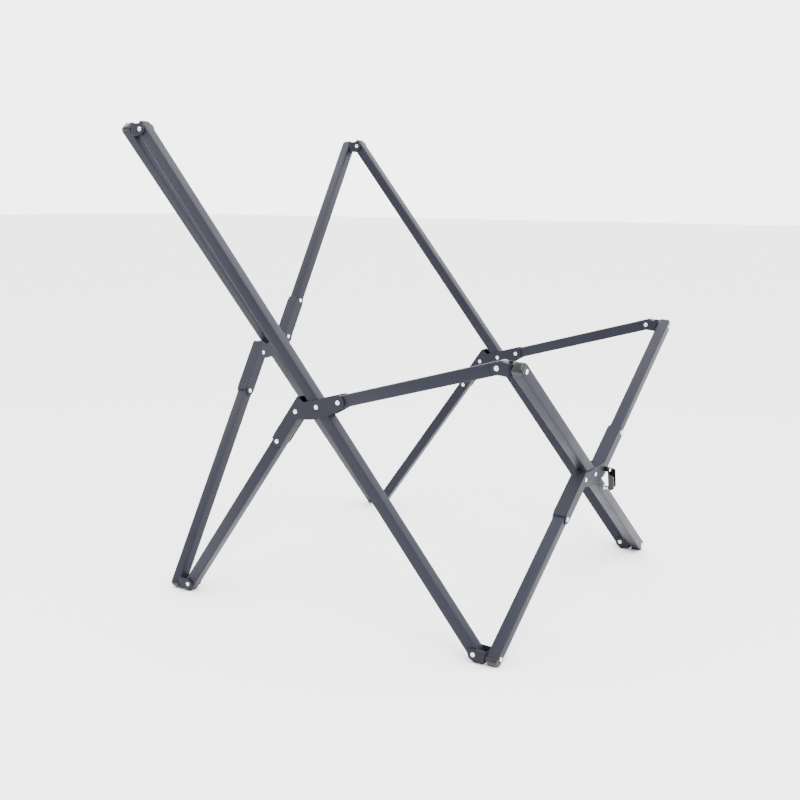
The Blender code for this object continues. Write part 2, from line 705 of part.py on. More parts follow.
cross_frame("back", back_at("T", -1), back_at("D", 1), back_at("T", 1), back_at("D", -1), PB, BACK_N, BACK_UP,
            BZ_DIR, BZ_LINE, FOOT_EXT_BACK, True, False)
cross_frame("front", front_at("S", -1), front_at("F", 1), front_at("S", 1), front_at("F", -1), PF, FRONT_N, FRONT_UP,
            FZ_DIR, FZ_LINE, FOOT_EXT_FRONT, False, True)

# ---------------------------------------------------------------- corner brackets
EAR_OUT = HALF + GAP + SHEET + GAP


def corner(tag, key, side, back, loose_pin, loose_base):
    tube_point = back_at(key, side) if back else front_at(key, side)
    n = BACK_N if back else FRONT_N
    bracket(tag + "_bracket", tube_point, -n, loose_pin, loose_base, tag)
    if not loose_pin:
        rivet(tag + "_ear_rivet", at(key, side), X, -EAR_OUT, EAR_OUT, tag)


corner("near_back_foot", "D", -1, True, False, False)
corner("near_back_top", "T", -1, True, True, False)
corner("far_back_foot", "D", 1, True, False, True)
corner("far_back_top", "T", 1, True, False, True)
corner("near_front_foot", "F", -1, False, False, False)
corner("near_front_top", "S", -1, False, False, False)
corner("far_front_foot", "F", 1, False, False, False)
corner("far_front_top", "S", 1, False, False, False)

# ---------------------------------------------------------------- latch on the front X
STRAIGHT_DIR = (front_at("F", 1) - front_at("S", -1)).normalized()
STRAIGHT_N = FRONT_N.cross(STRAIGHT_DIR)
if STRAIGHT_N.z < 0:
    STRAIGHT_N = -STRAIGHT_N
CATCH = PF + STRAIGHT_DIR * LATCH_ALONG + STRAIGHT_N * LATCH_OFF
LATCH_PIN = PF + FZ_LINE * E_PLATE


def latch_bar():
    """Channel that stands off the plate. Its web turns on the plate's long end rivet, with
    a boss below it, and its two flanges point out. The near flange starts below the rivet."""
    v = CATCH - LATCH_PIN
    length = v.length
    m = frame(LATCH_PIN, FRONT_N, v)      # local X down the bar, local Z out of the frame
    base = HALF + GAP + PLATE_T + 0.4 * MM
    z0 = base + LATCH_BOSS
    z1 = z0 + LATCH_WEB
    r = LATCH_HALF
    pts = arc(length, 0, r, -math.pi / 2, math.pi / 2, 8) + arc(0, 0, r, math.pi / 2, 1.5 * math.pi, 8)
    bm = outline_mesh(pts, z1 - z0)
    bm.transform(Matrix.Translation((0, 0, (z0 + z1) / 2)))
    o = new_object("latch_bar", bm)
    for side, start in ((1, -1 * MM), (-1, 8 * MM)):
        bm = bmesh.new()
        y0, y1 = sorted((side * r, side * (r - LATCH_FLANGE_T)))
        add_box(bm, (start, y0, z0), (length + 1 * MM, y1, z0 + LATCH_FLANGE))
        boolean(o, new_object("flange", bm, CUTTERS), "UNION")
    bm = bmesh.new()
    add_cylinder(bm, (0, 0, base), (0, 0, 1), LATCH_BOSS + 0.5 * MM, 4.4 * MM, 12)
    boolean(o, new_object("boss", bm, CUTTERS), "UNION")
    drill(o, [((0, 0, base + 5 * MM), (0, 0, 1), 0.04)])
    return place(smooth(o), m, "latch", BLACK)


latch_bar()


def latch_catch():
    """Low stud riveted to the face of the front straight tube, under the latch's foot."""
    m = frame(CATCH, FRONT_N, STRAIGHT_DIR)
    bm = bmesh.new()
    base = HALF + GAP
    lathe(bm, [(0.0, base), (5.2 * MM, base), (5.2 * MM, base + 1.2 * MM), (3.0 * MM, base + 1.5 * MM),
               (3.0 * MM, base + 5.6 * MM), (4.0 * MM, base + 6.2 * MM), (4.0 * MM, base + 7.4 * MM),
               (2.8 * MM, base + 8.4 * MM), (0.0, base + 8.6 * MM)],
          Matrix.Identity(4), 12)
    o = new_object("latch_catch", bm)
    return place(smooth(o), m, "front_straight", STEEL)


latch_catch()

bpy.context.view_layer.update()
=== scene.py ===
"""Looks of the bare folding chair frame: refined tubes, pressings, brackets, rivets and
plugs in the place of the plain solids, with procedural paint, steel and plastic."""
import math

import bmesh
import bpy
from mathutils import Matrix, Vector


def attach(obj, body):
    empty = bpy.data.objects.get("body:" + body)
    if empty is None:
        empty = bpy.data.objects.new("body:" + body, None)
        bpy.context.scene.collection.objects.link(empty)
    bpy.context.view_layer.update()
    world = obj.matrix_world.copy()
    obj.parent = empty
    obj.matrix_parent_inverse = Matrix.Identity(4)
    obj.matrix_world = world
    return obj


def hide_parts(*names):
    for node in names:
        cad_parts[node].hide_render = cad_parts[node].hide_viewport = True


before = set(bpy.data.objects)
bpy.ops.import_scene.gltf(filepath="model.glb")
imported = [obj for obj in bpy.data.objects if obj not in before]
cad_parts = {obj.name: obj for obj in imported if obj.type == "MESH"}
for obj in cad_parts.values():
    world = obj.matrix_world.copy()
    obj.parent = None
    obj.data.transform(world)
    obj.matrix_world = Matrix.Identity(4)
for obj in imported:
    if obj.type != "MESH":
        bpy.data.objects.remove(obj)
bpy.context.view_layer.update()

MM = 0.001

# ---------------------------------------------------------------- driving dimensions
TUBE = 20.0 * MM          # outside of the square tube
WALL = 1.4 * MM           # tube wall
CHAMFER = 1.2 * MM        # long edges of the tube
GAP = 0.3 * MM            # clearance between touching pieces
WIDTH = 642.0 * MM        # open width between the middles of the two side frames
PIN_Z = 14.5 * MM         # height of the side-frame foot pins

LONG_TOP = 560.0 * MM     # long side tube: X pivot to top pin
LONG_FOOT = 460.0 * MM    # long side tube: X pivot to foot pin
PLATE_ALONG = 34.0 * MM   # plate: pivot to end rivet, measured along the tube it carries
PLATE_SIDE = 27.0 * MM    # plate: pivot to end rivet, measured across the tube it carries
LOWER = 427.0 * MM        # side lower tube: plate end rivet to foot pin
ARM_ALONG = 34.0 * MM     # plate: pivot to arm pin, along the folded bundle
ARM_SIDE = 27.0 * MM      # plate: pivot to arm pin, across the folded bundle
ARM = 289.0 * MM          # arm: plate pin to front top pin

FOLD_WIDTH = 40.0 * MM    # folded width between the middles of the two side frames
FOLD_LOWER = math.radians(-3.5)   # folded angle of the lower tube to the long tube
FOLD_ARM = math.radians(-3.0)     # folded angle of the arm to the long tube

BRACKET_REACH = 32.0 * MM  # tube middle to side pin, across the bracket
SHEET = 2.0 * MM           # bracket sheet
EAR_R = 9.5 * MM           # rounded end of a bracket ear
BASE_HALF = 10.0 * MM      # half height of the bracket base

PLATE_T = 1.6 * MM         # plate and sleeve sheet
PLATE_TOP = 12.0 * MM      # straight edge of the plate above the rivet line
PLATE_BELLY = 19.0 * MM    # deepest point of the plate below the rivet line
SLEEVE_SIDE = 67.0 * MM    # plate end rivet to second rivet, side frames
SLEEVE_X = 85.0 * MM       # plate end rivet to second rivet, back and front
SLEEVE_LONG = 23.0 * MM   # side sleeve: plate end rivet back to its open end
SLEEVE_BACK = 20.0 * MM   # back cross sleeve: plate end rivet back to its open end
SLEEVE_SHORT = 11.0 * MM  # front cross sleeve: plate end rivet back to its open end

HEAD_R = 3.9 * MM          # rivet head
HEAD_H = 1.5 * MM
SHANK_R = 2.2 * MM
HOLE_R = 2.55 * MM

CAP = 7.0 * MM             # length of a tube plug outside the tube
CAP_R = 7.0 * MM           # rounding of the plug
TOP_EXT = 13.0 * MM        # pin to plug end, upper corners
FOOT_EXT_SIDE = 15.2 * MM  # pin to plug end, feet of the side tubes
FOOT_EXT_BACK = 12.2 * MM
FOOT_EXT_FRONT = 13.3 * MM
INNER_EXT = 9.0 * MM       # pin to cut end, tube ends held between plates
ARM_INNER_EXT = 7.0 * MM  # the same at the arm, which turns past the long tube

LATCH_ALONG = 68.0 * MM    # catch on the front straight tube: distance from the X pivot
LATCH_BOSS = 7.3 * MM     # height of the boss under the latch bar's web
LATCH_WEB = 2.0 * MM      # web of the latch bar
LATCH_FLANGE = 10.6 * MM  # depth of the latch bar's channel
LATCH_FLANGE_T = 1.1 * MM
LATCH_HALF = 5.3 * MM     # half width of the latch bar
LATCH_STAND = LATCH_BOSS + LATCH_WEB + 0.8 * MM  # extra length of the plate rivet that carries it
LATCH_OFF = 3.0 * MM       # and off the tube's middle line, towards its upper side
Y_SHIFT = -13.448 * MM       # places the middle of the depth at Y = 0

HALF = TUBE / 2
E_PLATE = math.hypot(PLATE_ALONG, PLATE_SIDE)
GAMMA = math.atan2(PLATE_SIDE, PLATE_ALONG)

# ---------------------------------------------------------------- the linkage, open
def turned(p, w):
    c, s = math.cos(w), math.sin(w)
    return (c * p[0] - s * p[1], s * p[0] + c * p[1])


def side_points(width, back_diag, front_diag):
    """Pins of one side frame in the long tube's own (up, back) coordinates."""
    lb = math.sqrt(back_diag**2 - width**2)
    lf = math.sqrt(front_diag**2 - width**2)
    foot_b = (-PLATE_ALONG - LOWER, PLATE_SIDE)
    rd = math.hypot(*foot_b)
    w = math.acos((LONG_TOP**2 + rd**2 - lb**2) / (2 * LONG_TOP * rd)) - math.atan2(foot_b[1], foot_b[0])
    d = turned(foot_b, w)
    a = turned((ARM_ALONG, -ARM_SIDE), w)
    low = turned((-PLATE_ALONG, PLATE_SIDE), w)
    f = (-LONG_FOOT, 0.0)
    dx, dy = a[0] - f[0], a[1] - f[1]
    dist = math.hypot(dx, dy)
    along = (lf**2 - ARM**2 + dist**2) / (2 * dist)
    off = math.sqrt(lf**2 - along**2)
    ux, uy = dx / dist, dy / dist
    top_f = (f[0] + ux * along + uy * off, f[1] + uy * along - ux * off)
    return {"T": (LONG_TOP, 0.0), "F": f, "D": d, "A": a, "L": low, "S": top_f, "P": (0.0, 0.0)}


def diagonals():
    """Back and front diagonals that let the frame close at the folded width."""
    d = turned((-PLATE_ALONG - LOWER, PLATE_SIDE), FOLD_LOWER)
    a = turned((ARM_ALONG, -ARM_SIDE), FOLD_LOWER)
    s = turned((ARM, 0.0), FOLD_ARM)
    s = (a[0] + s[0], a[1] + s[1])
    lb = math.hypot(LONG_TOP - d[0], d[1])
    lf = math.hypot(s[0] + LONG_FOOT, s[1])
    return math.hypot(lb, FOLD_WIDTH), math.hypot(lf, FOLD_WIDTH)


BACK_DIAG, FRONT_DIAG = diagonals()
SIDE = side_points(WIDTH, BACK_DIAG, FRONT_DIAG)
TILT = math.atan2(SIDE["D"][1] - SIDE["F"][1], SIDE["D"][0] - SIDE["F"][0])


def to_yz(p):
    return (p[0] * math.cos(TILT) + p[1] * math.sin(TILT), p[0] * math.sin(TILT) - p[1] * math.cos(TILT))


YZ = {k: to_yz(v) for k, v in SIDE.items()}
Y0 = (YZ["D"][0] + YZ["F"][0]) / 2
Z0 = YZ["F"][1]
YZ = {k: (v[0] - Y0 + Y_SHIFT, v[1] - Z0 + PIN_Z) for k, v in YZ.items()}


def at(key, side):
    """A side-frame point in world coordinates; side is -1 near, +1 far."""
    return Vector((side * WIDTH / 2, YZ[key][0], YZ[key][1]))


X = Vector((1, 0, 0))
BACK_UP = (at("T", 1) - at("D", 1)).normalized()
BACK_N = BACK_UP.cross(X)                 # out of the back plane
if BACK_N.y < 0:
    BACK_N = -BACK_N
FRONT_UP = (at("S", 1) - at("F", 1)).normalized()
FRONT_N = FRONT_UP.cross(X)
if FRONT_N.y > 0:
    FRONT_N = -FRONT_N


def back_at(key, side):
    return at(key, side) + BACK_N * BRACKET_REACH


def front_at(key, side):
    return at(key, side) + FRONT_N * BRACKET_REACH


PB = (back_at("T", -1) + back_at("D", 1)) / 2
PF = (front_at("S", -1) + front_at("F", 1)) / 2


def z_member(pivot, top, up):
    """Points of the two-piece member of a back or front X. The held tubes run parallel,
    PLATE_SIDE either side of the pivot. Returns (tube direction, plate line)."""
    v = top - pivot
    half = v.length
    eff = math.atan2(v.dot(up), v.dot(X))
    tube_angle = eff + math.asin(PLATE_SIDE / half)
    line_angle = tube_angle - GAMMA
    d = X * math.cos(tube_angle) + up * math.sin(tube_angle)
    line = X * math.cos(line_angle) + up * math.sin(line_angle)
    return d, line


BZ_DIR, BZ_LINE = z_member(PB, back_at("T", 1), BACK_UP)
FZ_DIR, FZ_LINE = z_member(PF, front_at("S", 1), FRONT_UP)


# ================================================================ materials
def nodes_of(mat):
    mat.use_nodes = True
    nt = mat.node_tree
    return nt, nt.nodes, nt.links, nt.nodes["Principled BSDF"]


def paint(name, base, rough, metallic, scale=1.0, coat=0.15):
    """Satin powder coat: fine orange peel, a faint cloudiness, rubbed spots and dust."""
    m = bpy.data.materials.new(name)
    nt, n, l, b = nodes_of(m)
    tc = n.new("ShaderNodeTexCoord")
    cloud = n.new("ShaderNodeTexNoise")
    cloud.inputs["Scale"].default_value = 14.0 * scale
    cloud.inputs["Detail"].default_value = 4.0
    fine = n.new("ShaderNodeTexNoise")
    fine.inputs["Scale"].default_value = 1400.0 * scale
    fine.inputs["Detail"].default_value = 3.0
    fleck = n.new("ShaderNodeTexVoronoi")
    fleck.inputs["Scale"].default_value = 2600.0 * scale
    for t in (cloud, fine, fleck):
        l.new(tc.outputs["Object"], t.inputs["Vector"])
    ramp = n.new("ShaderNodeValToRGB")
    ramp.color_ramp.elements[0].position = 0.3
    ramp.color_ramp.elements[1].position = 0.72
    ramp.color_ramp.elements[0].color = (*[c * 0.88 for c in base], 1)
    ramp.color_ramp.elements[1].color = (*[min(1, c * 1.12) for c in base], 1)
    l.new(cloud.outputs["Fac"], ramp.inputs["Fac"])
    flecks = n.new("ShaderNodeValToRGB")
    flecks.color_ramp.elements[0].position = 0.0
    flecks.color_ramp.elements[1].position = 0.16
    flecks.color_ramp.elements[0].color = (1.22, 1.22, 1.25, 1)
    flecks.color_ramp.elements[1].color = (1.0, 1.0, 1.0, 1)
    l.new(fleck.outputs["Distance"], flecks.inputs["Fac"])
    mix = n.new("ShaderNodeMix")
    mix.data_type = "RGBA"
    mix.blend_type = "MULTIPLY"
    mix.inputs["Factor"].default_value = 0.6
    l.new(ramp.outputs["Color"], mix.inputs[6])
    l.new(flecks.outputs["Color"], mix.inputs[7])
    l.new(mix.outputs[2], b.inputs["Base Color"])
    mr = n.new("ShaderNodeMapRange")
    mr.inputs["From Min"].default_value = 0.3
    mr.inputs["From Max"].default_value = 0.7
    mr.inputs["To Min"].default_value = rough - 0.05
    mr.inputs["To Max"].default_value = rough + 0.07
    l.new(cloud.outputs["Fac"], mr.inputs["Value"])
    l.new(mr.outputs["Result"], b.inputs["Roughness"])
    bump = n.new("ShaderNodeBump")
    bump.inputs["Strength"].default_value = 0.16
    bump.inputs["Distance"].default_value = 0.00012
    l.new(fine.outputs["Fac"], bump.inputs["Height"])
    l.new(bump.outputs["Normal"], b.inputs["Normal"])
    b.inputs["Metallic"].default_value = metallic
    b.inputs["Specular IOR Level"].default_value = 0.2
    b.inputs["Specular Tint"].default_value = (0.78, 0.82, 1.0, 1)
    b.inputs["Coat Weight"].default_value = coat
    b.inputs["Coat Roughness"].default_value = 0.25
    return m


def steel(name, base=(0.78, 0.79, 0.81), rough=0.2):
    """Bright plated steel with faint turning rings and tiny dents."""
    m = bpy.data.materials.new(name)
    nt, n, l, b = nodes_of(m)
    tc = n.new("ShaderNodeTexCoord")
    noise = n.new("ShaderNodeTexNoise")
    noise.inputs["Scale"].default_value = 420.0
    noise.inputs["Detail"].default_value = 5.0
    l.new(tc.outputs["Object"], noise.inputs["Vector"])
    mr = n.new("ShaderNodeMapRange")
    mr.inputs["To Min"].default_value = rough - 0.06
    mr.inputs["To Max"].default_value = rough + 0.12
    l.new(noise.outputs["Fac"], mr.inputs["Value"])
    l.new(mr.outputs["Result"], b.inputs["Roughness"])
    ramp = n.new("ShaderNodeValToRGB")
    ramp.color_ramp.elements[0].color = (*[c * 0.82 for c in base], 1)
    ramp.color_ramp.elements[1].color = (*base, 1)
    l.new(noise.outputs["Fac"], ramp.inputs["Fac"])
    l.new(ramp.outputs["Color"], b.inputs["Base Color"])
    bump = n.new("ShaderNodeBump")
    bump.inputs["Strength"].default_value = 0.2
    bump.inputs["Distance"].default_value = 0.00008
    l.new(noise.outputs["Fac"], bump.inputs["Height"])
    l.new(bump.outputs["Normal"], b.inputs["Normal"])
    b.inputs["Metallic"].default_value = 1.0
    return m


def plastic(name, base=(0.004, 0.004, 0.0045), rough=0.22):
    """Black moulded nylon with a fine spark texture and a few glossier patches."""
    m = bpy.data.materials.new(name)
    nt, n, l, b = nodes_of(m)
    tc = n.new("ShaderNodeTexCoord")
    grain = n.new("ShaderNodeTexNoise")
    grain.inputs["Scale"].default_value = 900.0
    grain.inputs["Detail"].default_value = 4.0
    patch = n.new("ShaderNodeTexNoise")
    patch.inputs["Scale"].default_value = 60.0
    for t in (grain, patch):
        l.new(tc.outputs["Object"], t.inputs["Vector"])
    ramp = n.new("ShaderNodeValToRGB")
    ramp.color_ramp.elements[0].color = (*base, 1)
    ramp.color_ramp.elements[1].color = (*[c * 1.9 for c in base], 1)
    l.new(patch.outputs["Fac"], ramp.inputs["Fac"])
    l.new(ramp.outputs["Color"], b.inputs["Base Color"])
    mr = n.new("ShaderNodeMapRange")
    mr.inputs["To Min"].default_value = rough - 0.06
    mr.inputs["To Max"].default_value = rough + 0.14
    l.new(patch.outputs["Fac"], mr.inputs["Value"])
    l.new(mr.outputs["Result"], b.inputs["Roughness"])
    bump = n.new("ShaderNodeBump")
    bump.inputs["Strength"].default_value = 0.25
    bump.inputs["Distance"].default_value = 0.0001
    l.new(grain.outputs["Fac"], bump.inputs["Height"])
    l.new(bump.outputs["Normal"], b.inputs["Normal"])
    b.inputs["Specular IOR Level"].default_value = 0.3
    return m


PAINT = paint("look_slate_paint", (0.0110, 0.0114, 0.0170), 0.5, 0.0, 1.0, 0.0)
SHEET_PAINT = paint("look_bracket_paint", (0.0095, 0.0099, 0.0150), 0.5, 0.0, 1.3, 0.0)
STEEL = steel("look_rivet_steel")
BLACK = plastic("look_black_plastic")


# ================================================================ making and placing
def frame_at(origin, z, x):
    z = Vector(z).normalized()
    x = Vector(x)
    x = (x - z * x.dot(z)).normalized()
    y = z.cross(x)
    m = Matrix.Identity(4)
    for i, v in enumerate((x, y, z)):
        for r in range(3):
            m[r][i] = v[r]
    m.translation = Vector(origin)
    return m


def mesh_object(name, bm):
    bmesh.ops.recalc_face_normals(bm, faces=bm.faces)
    me = bpy.data.meshes.new(name)
    bm.to_mesh(me)
    bm.free()
    o = bpy.data.objects.new(name, me)
    bpy.context.scene.collection.objects.link(o)
    return o


def bake(o):
    """Applies the modifiers, so that the piece is a plain mesh."""
    bpy.context.view_layer.update()
    graph = bpy.context.evaluated_depsgraph_get()
    me = bpy.data.meshes.new_from_object(o.evaluated_get(graph))
    o.modifiers.clear()
    old = o.data
    o.data = me
    bpy.data.meshes.remove(old)
    return o


def soften_raw(o, width, segments=3, angle=32):
    """Rounds the edges between faces that meet at more than the angle."""
    mod = o.modifiers.new("edge", "BEVEL")
    mod.width = width
    mod.segments = segments
    mod.limit_method = "ANGLE"
    mod.angle_limit = math.radians(angle)
    mod.use_clamp_overlap = True
    mod.harden_normals = False
    mod.miter_outer = "MITER_ARC"
    return bake(o)



def soften(o, *args, **kwargs):
    """Round the edges, working from triangles, and keep the plain solid if the rounding
    leaves a face that folds over itself."""
    bm = bmesh.new()
    bm.from_mesh(o.data)
    bmesh.ops.remove_doubles(bm, verts=bm.verts, dist=0.002 * MM)
    bmesh.ops.triangulate(bm, faces=[f for f in bm.faces if len(f.verts) > 4])
    bm.to_mesh(o.data)
    bm.free()
    plain = o.data.copy()
    soften_raw(o, *args, **kwargs)
    me = o.data
    me.calc_loop_triangles()
    tri = {}
    for t in me.loop_triangles:
        tri[t.polygon_index] = tri.get(t.polygon_index, 0.0) + t.area
    if any(abs(tri[p.index] - p.area) > 5e-7 for p in me.polygons):
        print("plain edges kept on", o.name)
        o.data = plain

def finish_piece(o, m, body, mat, *nodes, angle=38):
    """Puts the piece in place, shades it, gives it its material and hides the plain parts it stands in for."""
    o.data.transform(m)
    o.data.shade_smooth()
    o.data.set_sharp_from_angle(angle=math.radians(angle))
    o.data.materials.clear()
    o.data.materials.append(mat)
    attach(o, body)
    if nodes:
        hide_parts(*nodes)
    return o


def arc(cx, cy, r, a0, a1, steps):
    return [
        (cx + r * math.cos(a0 + (a1 - a0) * i / steps), cy + r * math.sin(a0 + (a1 - a0) * i / steps))
        for i in range(steps + 1)
    ]


def add_box(bm, lo, hi):
    size = Vector(hi) - Vector(lo)
    mid = (Vector(hi) + Vector(lo)) / 2
    m = Matrix.Translation(mid) @ Matrix.Diagonal((*size, 1.0))
    return bmesh.ops.create_cube(bm, size=1.0, matrix=m)["verts"]


def outline_mesh(points, thickness):
    """A flat outline in XY, thickened both ways along Z."""
    curve = bpy.data.curves.new("outline", "CURVE")
    curve.dimensions = "2D"
    curve.fill_mode = "BOTH"
    curve.extrude = thickness / 2
    s = curve.splines.new("POLY")
    s.points.add(len(points) - 1)
    for p, (x, y) in zip(s.points, points):
        p.co = (x, y, 0.0, 1.0)
    s.use_cyclic_u = True
    o = bpy.data.objects.new("outline", curve)
    bpy.context.scene.collection.objects.link(o)
    bpy.context.view_layer.update()
    graph = bpy.context.evaluated_depsgraph_get()
    me = bpy.data.meshes.new_from_object(o.evaluated_get(graph))
    bpy.data.objects.remove(o, do_unlink=True)
    bpy.data.curves.remove(curve)
    bm = bmesh.new()
    bm.from_mesh(me)
    bpy.data.meshes.remove(me)
    bmesh.ops.remove_doubles(bm, verts=bm.verts, dist=1e-6)
    bmesh.ops.dissolve_limit(bm, angle_limit=math.radians(0.1), verts=bm.verts, edges=bm.edges)
    return bm


def boolean(o, other, operation):
    mod = o.modifiers.new("b", "BOOLEAN")
    mod.operation = operation
    mod.solver = "EXACT"
    mod.object = other
    bake(o)
    bpy.data.objects.remove(other, do_unlink=True)
    bm = bmesh.new()
    bm.from_mesh(o.data)
    bmesh.ops.remove_doubles(bm, verts=bm.verts, dist=1e-6)
    bmesh.ops.dissolve_limit(bm, angle_limit=math.radians(0.3), verts=bm.verts, edges=bm.edges)
    bm.to_mesh(o.data)
    bm.free()
    return o


# ================================================================ tubes
def ring(bm, half, r, z, n=6):
    r = max(r, 0.0001)
    pts = []
    for k, (sx, sy) in enumerate(((1, 1), (-1, 1), (-1, -1), (1, -1))):
        pts += arc(sx * (half - r), sy * (half - r), r, k * math.pi / 2, (k + 1) * math.pi / 2, n)
    return [bm.verts.new((x, y, z)) for x, y in pts]


def tube(node, a, b, side, ext_a, ext_b, body, closed_a=False, closed_b=False):
    """Rolled square tube with rounded corners and burred, slightly broken ends."""
    a, b = Vector(a), Vector(b)
    length = (b - a).length
    z0, z1 = -ext_a, length + ext_b
    bm = bmesh.new()
    deep = 14 * MM
    inner, ri = HALF - WALL, 1.2 * MM
    ro = 2.3 * MM
    e = 0.35 * MM
    spec = [(inner, ri, z0 + deep), (inner, ri, z0 + e), (inner + 0.2 * MM, ri, z0), (HALF - e, ro - e, z0), (HALF - 0.1 * MM, ro, z0 + 0.12 * MM), (HALF, ro, z0 + e)]
    spec += [(HALF, ro, z1 - e), (HALF - 0.1 * MM, ro, z1 - 0.12 * MM), (HALF - e, ro - e, z1), (inner + 0.2 * MM, ri, z1), (inner, ri, z1 - e), (inner, ri, z1 - deep)]
    rings = [ring(bm, h, r, z) for h, r, z in spec]
    for p, q in zip(rings, rings[1:]):
        k = len(p)
        for i in range(k):
            bm.faces.new((p[i], p[(i + 1) % k], q[(i + 1) % k], q[i]))
    bm.faces.new(rings[0])
    bm.faces.new(list(reversed(rings[-1])))
    o = mesh_object("look_" + node, bm)
    return finish_piece(o, frame_at(a, b - a, side), body, PAINT, node, angle=30)


# ================================================================ plugs
def plug(node, point, out, axis, foot, body):
    """Moulded end plug: a rim flush with the tube and a domed end, rounder about one axis."""
    w = HALF - 0.2 * MM
    bm = bmesh.new()
    rings = []
    n = 8
    # full round towards local Y, tighter round towards local X
    ry, rx = 6.4 * MM, 4.6 * MM
    stem = HALF - WALL - GAP
    for z, h in ((-3.0 * MM, stem), (0.0, stem)):
        rings.append(ring(bm, h, 1.0 * MM, z, n))
    rings.append(ring(bm, w - 0.5 * MM, 2.0 * MM, 0.0, n))
    rings.append(ring(bm, w, 2.3 * MM, 0.35 * MM, n))
    steps = 9
    for i in range(steps + 1):
        t = i / steps * math.pi / 2 * 0.93
        z = CAP - ry + ry * math.sin(t)
        if z < 0.5 * MM:
            continue
        dy = ry * (1 - math.cos(t))
        dx = rx * (1 - math.cos(t))
        rg = ring(bm, w, 2.3 * MM + 1.6 * MM * (i / steps), z, n)
        for v in rg:
            v.co.x *= (w - dx) / w
            v.co.y *= (w - dy) / w
        rings.append(rg)
    for p, q in zip(rings, rings[1:]):
        k = len(p)
        for i in range(k):
            bm.faces.new((p[i], p[(i + 1) % k], q[(i + 1) % k], q[i]))
    bm.faces.new(rings[0])
    bm.faces.new(list(reversed(rings[-1])))
    o = mesh_object("look_" + node, bm)
    m = frame_at(point, out, axis) @ Matrix.Translation((0, 0, GAP * 0.4))
    if foot:
        o.data.transform(m)
        bm = bmesh.new()
        bm.from_mesh(o.data)
        geom = bm.verts[:] + bm.edges[:] + bm.faces[:]
        cut = bmesh.ops.bisect_plane(bm, geom=geom, plane_co=(0, 0, 0), plane_no=(0, 0, 1), clear_inner=True, dist=1e-7)
        edges = [x for x in cut["geom_cut"] if isinstance(x, bmesh.types.BMEdge)]
        if edges:
            bmesh.ops.edgenet_fill(bm, edges=edges)
        bmesh.ops.recalc_face_normals(bm, faces=bm.faces)
        bm.to_mesh(o.data)
        bm.free()
        m = Matrix.Identity(4)
    return finish_piece(o, m, body, BLACK, node, angle=50)


# ================================================================ rivets
def dome_profile(z, up, r=HEAD_R, h=HEAD_H):
    """From the rim's underside over the dome to the axis."""
    pts = [(r - 0.15 * MM, z), (r, z + up * 0.15 * MM), (r, z + up * 0.35 * MM)]
    crest = 0.5 * r
    for i in range(1, 8):
        t = i / 7 * math.pi / 2
        pts.append((crest + (r - crest) * math.cos(t), z + up * (0.35 * MM + (h - 0.35 * MM) * math.sin(t))))
    # the rolled dimple in the middle
    for f, d in ((0.40, 0.03), (0.33, 0.16), (0.28, 0.45), (0.22, 0.62), (0.12, 0.68)):
        pts.append((f * r, z + up * h * (1 - d)))
    pts.append((0.0, z + up * h * 0.31))
    return pts


def turned_piece(name, profile, steps=36):
    bm = bmesh.new()
    verts = [bm.verts.new((r, 0.0, z)) for r, z in profile]
    edges = [bm.edges.new(p) for p in zip(verts, verts[1:])]
    bmesh.ops.spin(bm, geom=verts + edges, axis=(0, 0, 1), cent=(0, 0, 0), angle=2 * math.pi, steps=steps, use_merge=True)
    bmesh.ops.remove_doubles(bm, verts=bm.verts, dist=1e-6)
    return mesh_object(name, bm)


def rivet(name, centre, axis, low, high, body, node=None, heads=(True, True)):
    profile = list(reversed(dome_profile(low, -1.0))) if heads[0] else [(0.0, low)]
    profile += [(SHANK_R, low), (SHANK_R, high)]
    profile += dome_profile(high, 1.0) if heads[1] else [(0.0, high)]
    o = turned_piece("look_" + name, profile)
    m = frame_at(centre, axis, (0.31, 0.17, 0.93))
    return finish_piece(o, m, body, STEEL, *([node] if node else []), angle=40)


def head_only(name, centre, axis, height, body):
    profile = [(0.0, height - 0.3 * MM), (HEAD_R - 0.6 * MM, height - 0.3 * MM)] + dome_profile(height, 1.0)
    o = turned_piece("look_" + name, profile)
    return finish_piece(o, frame_at(centre, axis, (0.31, 0.17, 0.93)), body, STEEL, angle=40)


# ================================================================ brackets and pressings
def bracket(node, tube_point, reach_dir, body):
    """Pressed U bracket: base, two rounded ears and a bend radius along both folds."""
    reach_dir = Vector(reach_dir).normalized()
    x = Vector((1, 0, 0))
    m = frame_at(tube_point, x.cross(reach_dir), x)
    lo = HALF + GAP
    pts = [(lo, -BASE_HALF), (lo + 5 * MM, -BASE_HALF)]
    pts += arc(BRACKET_REACH, 0.0, EAR_R, -math.pi / 2, math.pi / 2, 24)
    pts += [(lo + 5 * MM, BASE_HALF), (lo, BASE_HALF)]
    bm = outline_mesh(pts, 2 * (HALF + GAP + SHEET))
    bm.transform(Matrix(((0, 0, 1, 0), (1, 0, 0, 0), (0, 1, 0, 0), (0, 0, 0, 1))))
    o = mesh_object("look_" + node, bm)
    # the outer bend radius of both folds
    bm = bmesh.new()
    bm.from_mesh(o.data)
    half = HALF + GAP + SHEET
    bend = [e for e in bm.edges if all(abs(v.co.y - lo) < 1e-6 and abs(abs(v.co.x) - half) < 1e-6 for v in e.verts)]
    bmesh.ops.bevel(bm, geom=bend, offset=1.9 * MM, segments=6, affect="EDGES", clamp_overlap=True)
    bm.to_mesh(o.data)
    bm.free()
    bm = bmesh.new()
    w = HALF + GAP
    add_box(bm, (-w, lo + SHEET, -0.03), (w, lo + 0.06, 0.03))
    boolean(o, mesh_object("slot", bm), "DIFFERENCE")
    soften(o, 0.35 * MM, 3, 40)
    return finish_piece(o, m, body, SHEET_PAINT, node)


